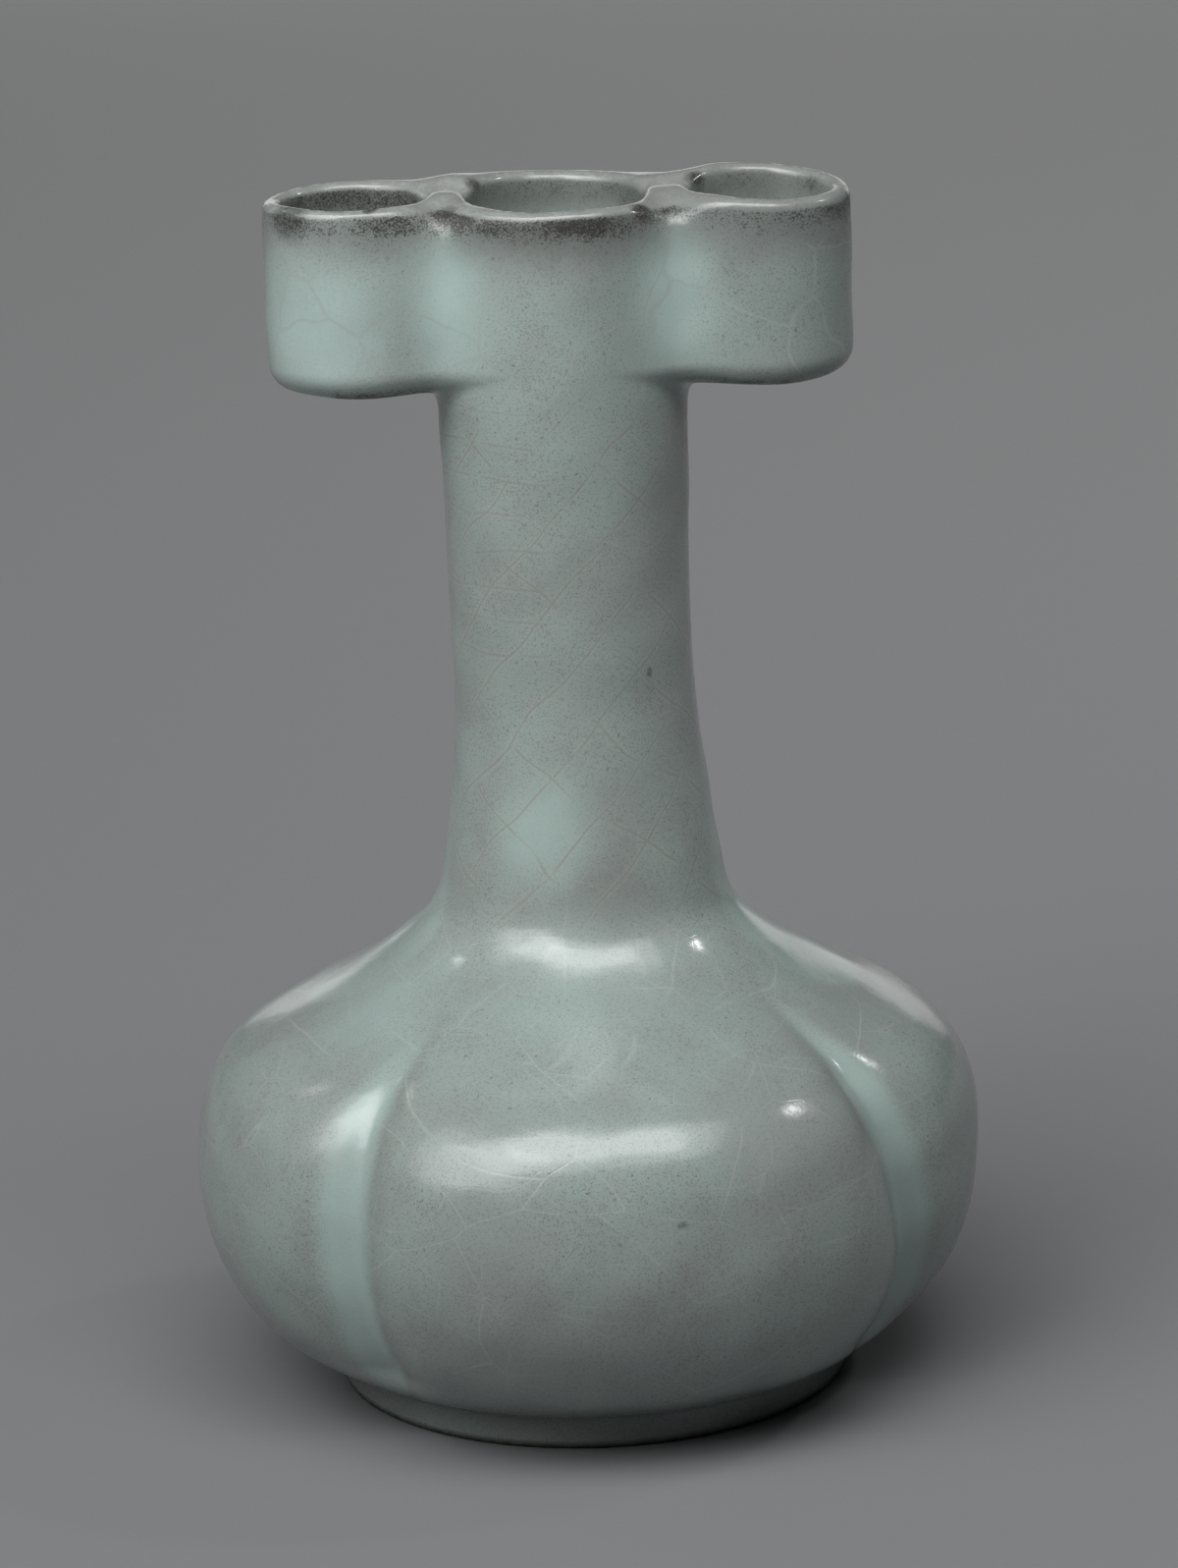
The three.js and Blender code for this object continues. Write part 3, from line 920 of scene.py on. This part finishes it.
class Shading:
    """Builds a material's node tree. Inputs are numbers, colours or other nodes' outputs."""

    def __init__(self, name):
        self.material = bpy.data.materials.new(name)
        self.material.use_nodes = True
        self.tree = self.material.node_tree
        self.shader = self.tree.nodes["Principled BSDF"]

    def join(self, value, socket):
        if isinstance(value, bpy.types.NodeSocket):
            self.tree.links.new(value, socket)
        elif isinstance(value, tuple) and socket.type == "RGBA":
            socket.default_value = (*value, 1)
        else:
            socket.default_value = value

    def node(self, kind, inputs, **settings):
        made = self.tree.nodes.new(kind)
        for name, value in settings.items():
            setattr(made, name, value)
        for name, value in inputs.items():
            self.join(value, made.inputs[name])
        return made

    def place(self):
        """Where a point of the vase is, in metres."""
        return self.node("ShaderNodeTexCoord", {}).outputs["Object"]

    def attribute(self, name):
        return self.node("ShaderNodeAttribute", {}, attribute_name=name).outputs["Fac"]

    def math(self, operation, first, second=0.0):
        return self.node("ShaderNodeMath", {0: first, 1: second}, operation=operation).outputs[0]

    def vector(self, operation, first, second):
        made = self.node("ShaderNodeVectorMath", {0: first, 1: second}, operation=operation)
        return made.outputs[0]

    def times(self, first, *others):
        for other in others:
            first = self.math("MULTIPLY", first, other)
        return first

    def either(self, first, second):
        return self.math("MAXIMUM", first, second)

    def without(self, value):
        return self.math("SUBTRACT", 1.0, value)

    def step(self, value, start, end, low=0.0, high=1.0):
        """A smooth step from low to high as the value goes from start to end."""
        inputs = {"Value": value, "From Min": start, "From Max": end, "To Min": low, "To Max": high}
        made = self.node("ShaderNodeMapRange", inputs, interpolation_type="SMOOTHSTEP")
        return made.outputs["Result"]

    def mix(self, share, first, second):
        made = self.node("ShaderNodeMix", {0: share, 6: first, 7: second}, data_type="RGBA")
        return made.outputs[2]

    def noise(self, place, size, detail=2.0, rough=0.5):
        """Cloudy noise from 0 to 1 with lumps of a size in millimetres."""
        inputs = {"Vector": place, "Scale": 1 / (size * MM), "Detail": detail, "Roughness": rough}
        return self.node("ShaderNodeTexNoise", inputs).outputs["Fac"]

    def warped(self, place, size, reach):
        """The places pushed about by noise of a size, by up to about a reach in millimetres."""
        inputs = {"Vector": place, "Scale": 1 / (size * MM), "Detail": 2.0}
        noise = self.node("ShaderNodeTexNoise", inputs).outputs["Color"]
        centred = self.vector("SUBTRACT", noise, (0.5, 0.5, 0.5))
        push = self.vector("MULTIPLY", centred, (2 * reach * MM,) * 3)
        return self.vector("ADD", place, push)

    def cracks(self, place, size, width):
        """1 on the lines of a net with meshes of a size, and 0 off them, in millimetres."""
        inputs = {"Vector": place, "Scale": 1 / (size * MM)}
        net = self.node("ShaderNodeTexVoronoi", inputs, feature="DISTANCE_TO_EDGE")
        return self.step(net.outputs["Distance"], width / size / 4, width / size, 1.0, 0.0)

    def lines(self, turns, spacing, width):
        """1 where a number of turns is whole, and 0 beside it, with a spacing in millimetres."""
        away = self.math("PINGPONG", turns, 0.5)
        return self.step(away, width / spacing / 4, width / spacing, 1.0, 0.0)

    def spot(self, place, centre, reach, core):
        """1 within a core's share of a reach about a centre, and 0 beyond it, in millimetres."""
        inputs = {0: place, 1: tuple(c * MM for c in centre)}
        far = self.node("ShaderNodeVectorMath", inputs, operation="DISTANCE").outputs["Value"]
        return self.step(far, reach * MM * core, reach * MM, 1.0, 0.0)


class Glaze(Shading):
    """A grey-green glaze: cloudy, finely speckled and crackled, thin and brown below the lips."""

    def __init__(self):
        super().__init__("celadon_glaze")
        self.here = self.place()
        parts = self.node("ShaderNodeSeparateXYZ", {0: self.here}).outputs
        self.across, self.depth, self.height = parts
        self.below_rim = self.attribute("below_rim")
        self.inside = self.attribute("inside")
        self.bare = self.attribute("bare")

        self.clouds = self.noise(self.here, *CLOUDS)
        self.patches = self.noise(self.here, *PATCHES)
        self.smears = self.noise(self.here, *SMEARS)
        self.blotches = self.noise(self.here, *BLOTCHES)
        self.grain = self.noise(self.here, *GRAIN)
        rough_grain = self.times(self.grain, GRAIN_WEIGHT)
        self.uneven = self.math("ADD", rough_grain, self.times(self.blotches, BLOTCH_WEIGHT))

        self.on_neck = self.passing(self.height, *NECK_START)
        self.at_lugs = self.passing(self.height, *LUGS_START)
        self.below_lugs = self.without(self.at_lugs)
        self.on_left_lug = self.passing(self.across, *LEFT_LUG_END)
        self.on_mouth = self.passing(self.math("ABSOLUTE", self.across), *MOUTH_END)
        smeared = self.times(self.math("SUBTRACT", self.smears, 0.5), RIM_SMEAR)
        self.down = self.math("ADD", self.below_rim, smeared)

        self.pool = self.attribute("pool")
        # The pale clouds join the pool mask: painted light and highlights, coloured like pooled
        # glaze.
        for cloud in PAINTED_LIGHT_CLOUDS:
            self.pool = self.either(self.pool, self.cloud(CLOUD_EDGE, PAINTED_LIGHT_CORE, *cloud))
        self.under_lip = self.below_lips()
        self.band = self.brown_band()
        self.grainy = self.step(self.math("ADD", self.band, self.uneven), *BITTEN)
        self.pale_cracks = self.either(self.body_cracks(), self.lug_cracks())
        self.stained = self.times(self.neck_cracks(NECK_CRACK_WIDTH), STAIN_SHARE)

    def passing(self, place, start, end, *values):
        """A smooth step along the vase, with its ends in millimetres."""
        return self.step(place, start * MM, end * MM, *values)

    def between(self, share, low, high):
        """The low value where a share is 0, and the high one where it is 1."""
        return self.step(share, 0.0, 1.0, low, high)

    def cloud(self, edge, core, centre, reach, strength):
        """A spot with a ragged edge, whose size and reach are in millimetres."""
        return self.times(self.spot(self.warped(self.here, *edge), centre, reach, core), strength)

    def ground(self):
        """The colour without the marks: grey and green clouds, duller in places and on the grooves'
        flanks, where the darkening is partly thin glaze and partly painted shade.
        """
        colour = self.mix(self.step(self.clouds, *GREEN_LEVELS), GLAZE_GREY, GLAZE_GREEN)
        colour = self.mix(self.step(self.patches, *DULL_PATCHES), colour, GLAZE_DULL)
        colour = self.mix(self.step(self.below_rim, *DULL_RIM), colour, GLAZE_DULL)
        # Darker flanks beside the grooves: partly thin glaze and partly painted shade.
        patchy = self.step(self.patches, *RIDGE_PATCHES)
        colour = self.mix(self.times(self.attribute("ridge"), patchy), colour, GLAZE_RIDGE)
        for cloud in DULL_CLOUDS:
            colour = self.mix(self.cloud(CLOUD_EDGE, DULL_CORE, *cloud), colour, GLAZE_RIDGE)
        return colour

    def pooled_and_lit(self, colour):
        """Paler and greener where the glaze lies thick, and in the pale clouds of painted light and
        highlights.
        """
        ragged = self.times(self.pool, self.step(self.smears, *RAGGED_POOLS))
        return self.mix(self.times(ragged, POOL_SHARE), colour, GLAZE_POOLED_AND_PAINTED_LIGHT)

    def gritty(self, colour):
        """Fine grit and a few dark dots, which the pools cover."""
        clear = self.without(self.times(self.pool, POOL_COVER))
        patchy = self.step(self.patches, *GRIT_PATCHES)
        grit = self.times(self.step(self.grain, *GRIT_LEVELS), patchy, clear)
        colour = self.mix(grit, colour, GLAZE_GRIT)
        dots = self.step(self.noise(self.here, *SPECKS), *DOT_LEVELS)
        dots = self.times(dots, self.step(self.clouds, *DOT_CLOUD_LEVELS), clear)
        return self.mix(dots, colour, GLAZE_DOT)

    def painted_light_and_shade(self, colour):
        """Painted light and shade: paler or darker from part to part of the vase as the light falls
        on it.
        """
        light_factor = FOOT_PAINTED_SHADE
        for start, end, factor in PAINTED_LIGHT_CHANGES:
            light_factor = self.times(self.passing(self.height, start, end, 1.0, factor), light_factor)
        side_light = self.passing(self.across, *LUG_PAINTED_LIGHT)
        light_factor = self.times(light_factor, self.between(self.at_lugs, 1.0, side_light))
        in_valley = self.spot(self.here, *RIGHT_VALLEY_LIT_SPOT)
        light_factor = self.times(light_factor, self.between(in_valley, 1.0, RIGHT_VALLEY_PAINTED_LIGHT))
        return self.vector("MULTIPLY", colour, light_factor)

    def body_cracks(self):
        """A wide and a fine net of cracks on the body, broken off here and there."""
        place = self.vector("MULTIPLY", self.warped(self.here, *BODY_CRACK_STRAY), BODY_CRACK_SQUASH)
        fine = self.times(self.cracks(place, *FINE_CRACKS), FINE_CRACK_SHARE)
        return self.times(
            self.either(self.cracks(place, *WIDE_CRACKS), fine),
            self.step(self.noise(self.here, CRACK_BREAKS), *CRACK_BREAK_LEVELS),
            self.between(self.on_neck, *BODY_AND_NECK_SHARES),
            self.passing(self.height, *CRACKS_START),
            self.below_lugs,
        )

    def lug_cracks(self):
        """A few long cracks on the lugs and round the mouth, which end below the brown band."""
        net = self.cracks(self.warped(self.here, *LUG_CRACK_STRAY), *LUG_CRACKS)
        return self.times(net, self.at_lugs, self.step(self.below_rim, *LUG_CRACK_END))

    def neck_cracks(self, width):
        """The neck's crackle: two sets of slanting cracks and a level one, broken off in places."""
        angle = self.math("ARCTAN2", self.across, self.times(self.depth, -1.0))
        stray = self.math("SUBTRACT", self.noise(self.here, *NECK_CRACK_STRAY), 0.5)
        found = 0.0
        for count, turns, strays, breaks, moved in (NECK_CRACKS_RISING, NECK_CRACKS_FALLING):
            phase = self.times(angle, count / (2 * math.pi))
            phase = self.math("ADD", phase, self.times(self.height, turns))
            phase = self.math("ADD", phase, self.times(stray, strays))
            elsewhere = self.vector("ADD", self.here, (moved * MM, 0, 0))
            broken = self.step(self.noise(elsewhere, NECK_CRACK_BREAKS), *breaks)
            lines = self.lines(phase, NECK_CRACK_SPACING, width)
            found = self.either(self.times(lines, broken), found)
        level = self.times(self.height, 1 / (LEVEL_CRACK_SPACING * MM))
        level = self.math("ADD", level, self.times(stray, LEVEL_CRACK_STRAY))
        level = self.times(
            self.lines(level, LEVEL_CRACK_SPACING, width),
            self.step(angle, *LEVEL_CRACK_SIDE),
            self.passing(self.height, *LEVEL_CRACK_START),
            self.passing(self.height, *LEVEL_CRACK_END),
            self.step(self.noise(self.here, LEVEL_CRACK_BREAKS), *LEVEL_BREAK_LEVELS),
        )
        return self.times(self.either(found, level), self.on_neck, self.below_lugs)

    def crackled(self, colour):
        """Pale cracks, and on the neck tan ones with pale borders."""
        colour = self.mix(self.pale_cracks, colour, CRACK_PALE)
        borders = self.times(self.neck_cracks(CRACK_BORDER_WIDTH), CRACK_BORDER_SHARE)
        colour = self.mix(borders, colour, CRACK_PALE)
        return self.mix(self.stained, colour, CRACK_STAINED)

    def below_lips(self):
        """1 on the walls below the lips, and less where the glaze is thick or inside the vase."""
        inside = self.times(self.inside, self.between(self.on_left_lug, *INSIDE_LOSSES))
        thick = self.times(self.pool, POOL_BAND_LOSS)
        below = self.step(self.below_rim, *BAND_START)
        return self.times(below, self.without(thick), self.without(inside))

    def brown_band(self):
        """The band of thin glaze below the lips, and the dark line on the lugs' lower edges, partly
        thin glaze and partly painted shade.
        """
        patchy = self.step(self.patches, *BAND_PATCHES)
        band = self.times(self.under_lip, self.step(self.down, *BAND_END), patchy)
        band = self.times(band, self.between(self.on_mouth, LUG_BAND_SHARE, 1.0))
        edge = self.step(self.smears, *EDGE_SMEARS)
        return self.either(band, self.times(self.attribute("lug_edge"), edge))

    def browned(self, colour):
        """Thin below the lips, with burnt grains in the band, which on the lugs' lower edges are
        partly painted shade.
        """
        thin = self.step(self.down, *THIN_END)
        thin = self.times(self.under_lip, thin, self.between(self.on_mouth, LUG_THIN_SHARE, 1.0))
        thin = self.either(thin, self.times(self.band, BAND_SHARE))
        return self.mix(self.grainy, self.mix(thin, colour, GLAZE_THIN), GLAZE_BURNT)

    def lipped(self, colour):
        """Worn to a pale grey on the lips themselves."""
        lip = self.times(self.step(self.below_rim, *LIP_END), self.step(self.smears, *EDGE_SMEARS))
        lip = self.times(lip, self.step(self.blotches, *LIP_BLOTCHES))
        return self.mix(lip, colour, GLAZE_LIP)

    def burnt(self, colour):
        """Burnt inside the back lips and in single spots."""
        burnt = self.times(
            self.inside,
            self.passing(self.depth, *BURNT_BACK),
            self.step(self.below_rim, *BURNT_START),
            self.step(self.down, *BURNT_END),
            self.between(self.on_left_lug, *BURNT_BACK_SHARES),
            self.step(self.patches, *BURNT_PATCHES),
        )
        for spot in BURNT_SPOTS:
            burnt = self.either(self.cloud(BURNT_EDGE, BURNT_CORE, *spot), burnt)
        burnt = self.times(burnt, self.step(self.uneven, *BURNT_GRAINS))
        return self.mix(burnt, colour, GLAZE_BURNT)

    def roughness(self):
        """Satin, duller towards the rim, and matt where it is thin or bare."""
        matt = self.step(self.below_rim, *RIM_MATT)
        matt = self.times(self.step(self.below_rim, *LIP_GLOSS), matt)
        rough = self.math("ADD", self.step(self.patches, *GLOSS_PATCHES), matt)
        rough = self.either(rough, self.times(self.either(self.grainy, self.band), BAND_ROUGHNESS))
        return self.either(rough, self.times(self.bare, BARE_ROUGHNESS))

    def relief(self):
        """The glaze's peel, its grains and its cracks, as a bump."""
        peel = self.times(self.noise(self.here, *PEEL), PEEL_HEIGHT)
        grains = self.times(self.grain, self.between(self.grainy, *GRAIN_HEIGHTS))
        cracks = self.times(self.either(self.pale_cracks, self.stained), CRACK_DEPTH)
        height = self.math("SUBTRACT", self.math("ADD", peel, grains), cracks)
        inputs = {"Height": height, "Strength": BUMP_STRENGTH, "Distance": BUMP_HEIGHT * MM}
        return self.node("ShaderNodeBump", inputs).outputs["Normal"]

    def finished(self):
        """The material, with each mark laid over the ones before it."""
        colour = self.ground()
        marks = (self.pooled_and_lit, self.gritty, self.painted_light_and_shade, self.crackled)
        for lay in (*marks, self.browned, self.lipped, self.burnt):
            colour = lay(colour)
        self.join(self.mix(self.bare, colour, CLAY_BARE), self.shader.inputs["Base Color"])
        self.join(self.roughness(), self.shader.inputs["Roughness"])
        self.join(GLAZE_IOR, self.shader.inputs["IOR"])
        self.join(self.relief(), self.shader.inputs["Normal"])
        return self.material


def make_floor():
    """Plain paper, which throws less light back at the vase than its own paleness would."""
    paper = Shading("grey_paper")
    path = paper.node("ShaderNodeLightPath", {}).outputs
    mirrored = paper.either(path["Is Glossy Ray"], path["Is Transmission Ray"])
    seen = paper.either(path["Is Camera Ray"], mirrored)
    across, depth, _ = paper.node("ShaderNodeSeparateXYZ", {0: paper.place()}).outputs
    away = paper.math("ADD", depth, paper.times(across, FLOOR_FAR_SLANT))
    colour = paper.mix(paper.step(away, *FLOOR_FAR_PLACE), FLOOR_NEAR, FLOOR_FAR)
    paper.join(paper.mix(seen, FLOOR_BOUNCE, colour), paper.shader.inputs["Base Color"])
    paper.join(FLOOR_ROUGHNESS, paper.shader.inputs["Roughness"])
    mesh = bpy.data.meshes.new("floor")
    corners = [(-1, -1, 0), (1, -1, 0), (1, 1, 0), (-1, 1, 0)]
    mesh.from_pydata([Vector(c) * FLOOR_REACH for c in corners], [], [(0, 1, 2, 3)])
    mesh.materials.append(paper.material)
    floor = bpy.data.objects.new("floor", mesh)
    bpy.context.collection.objects.link(floor)


make_camera()
make_world()
make_floor()
for lamp in LAMPS:
    area_lamp(*lamp)
glaze = Glaze().finished()
for piece in pieces.values():
    piece.data.materials.append(glaze)

bpy.context.scene.view_settings.view_transform = "Standard"
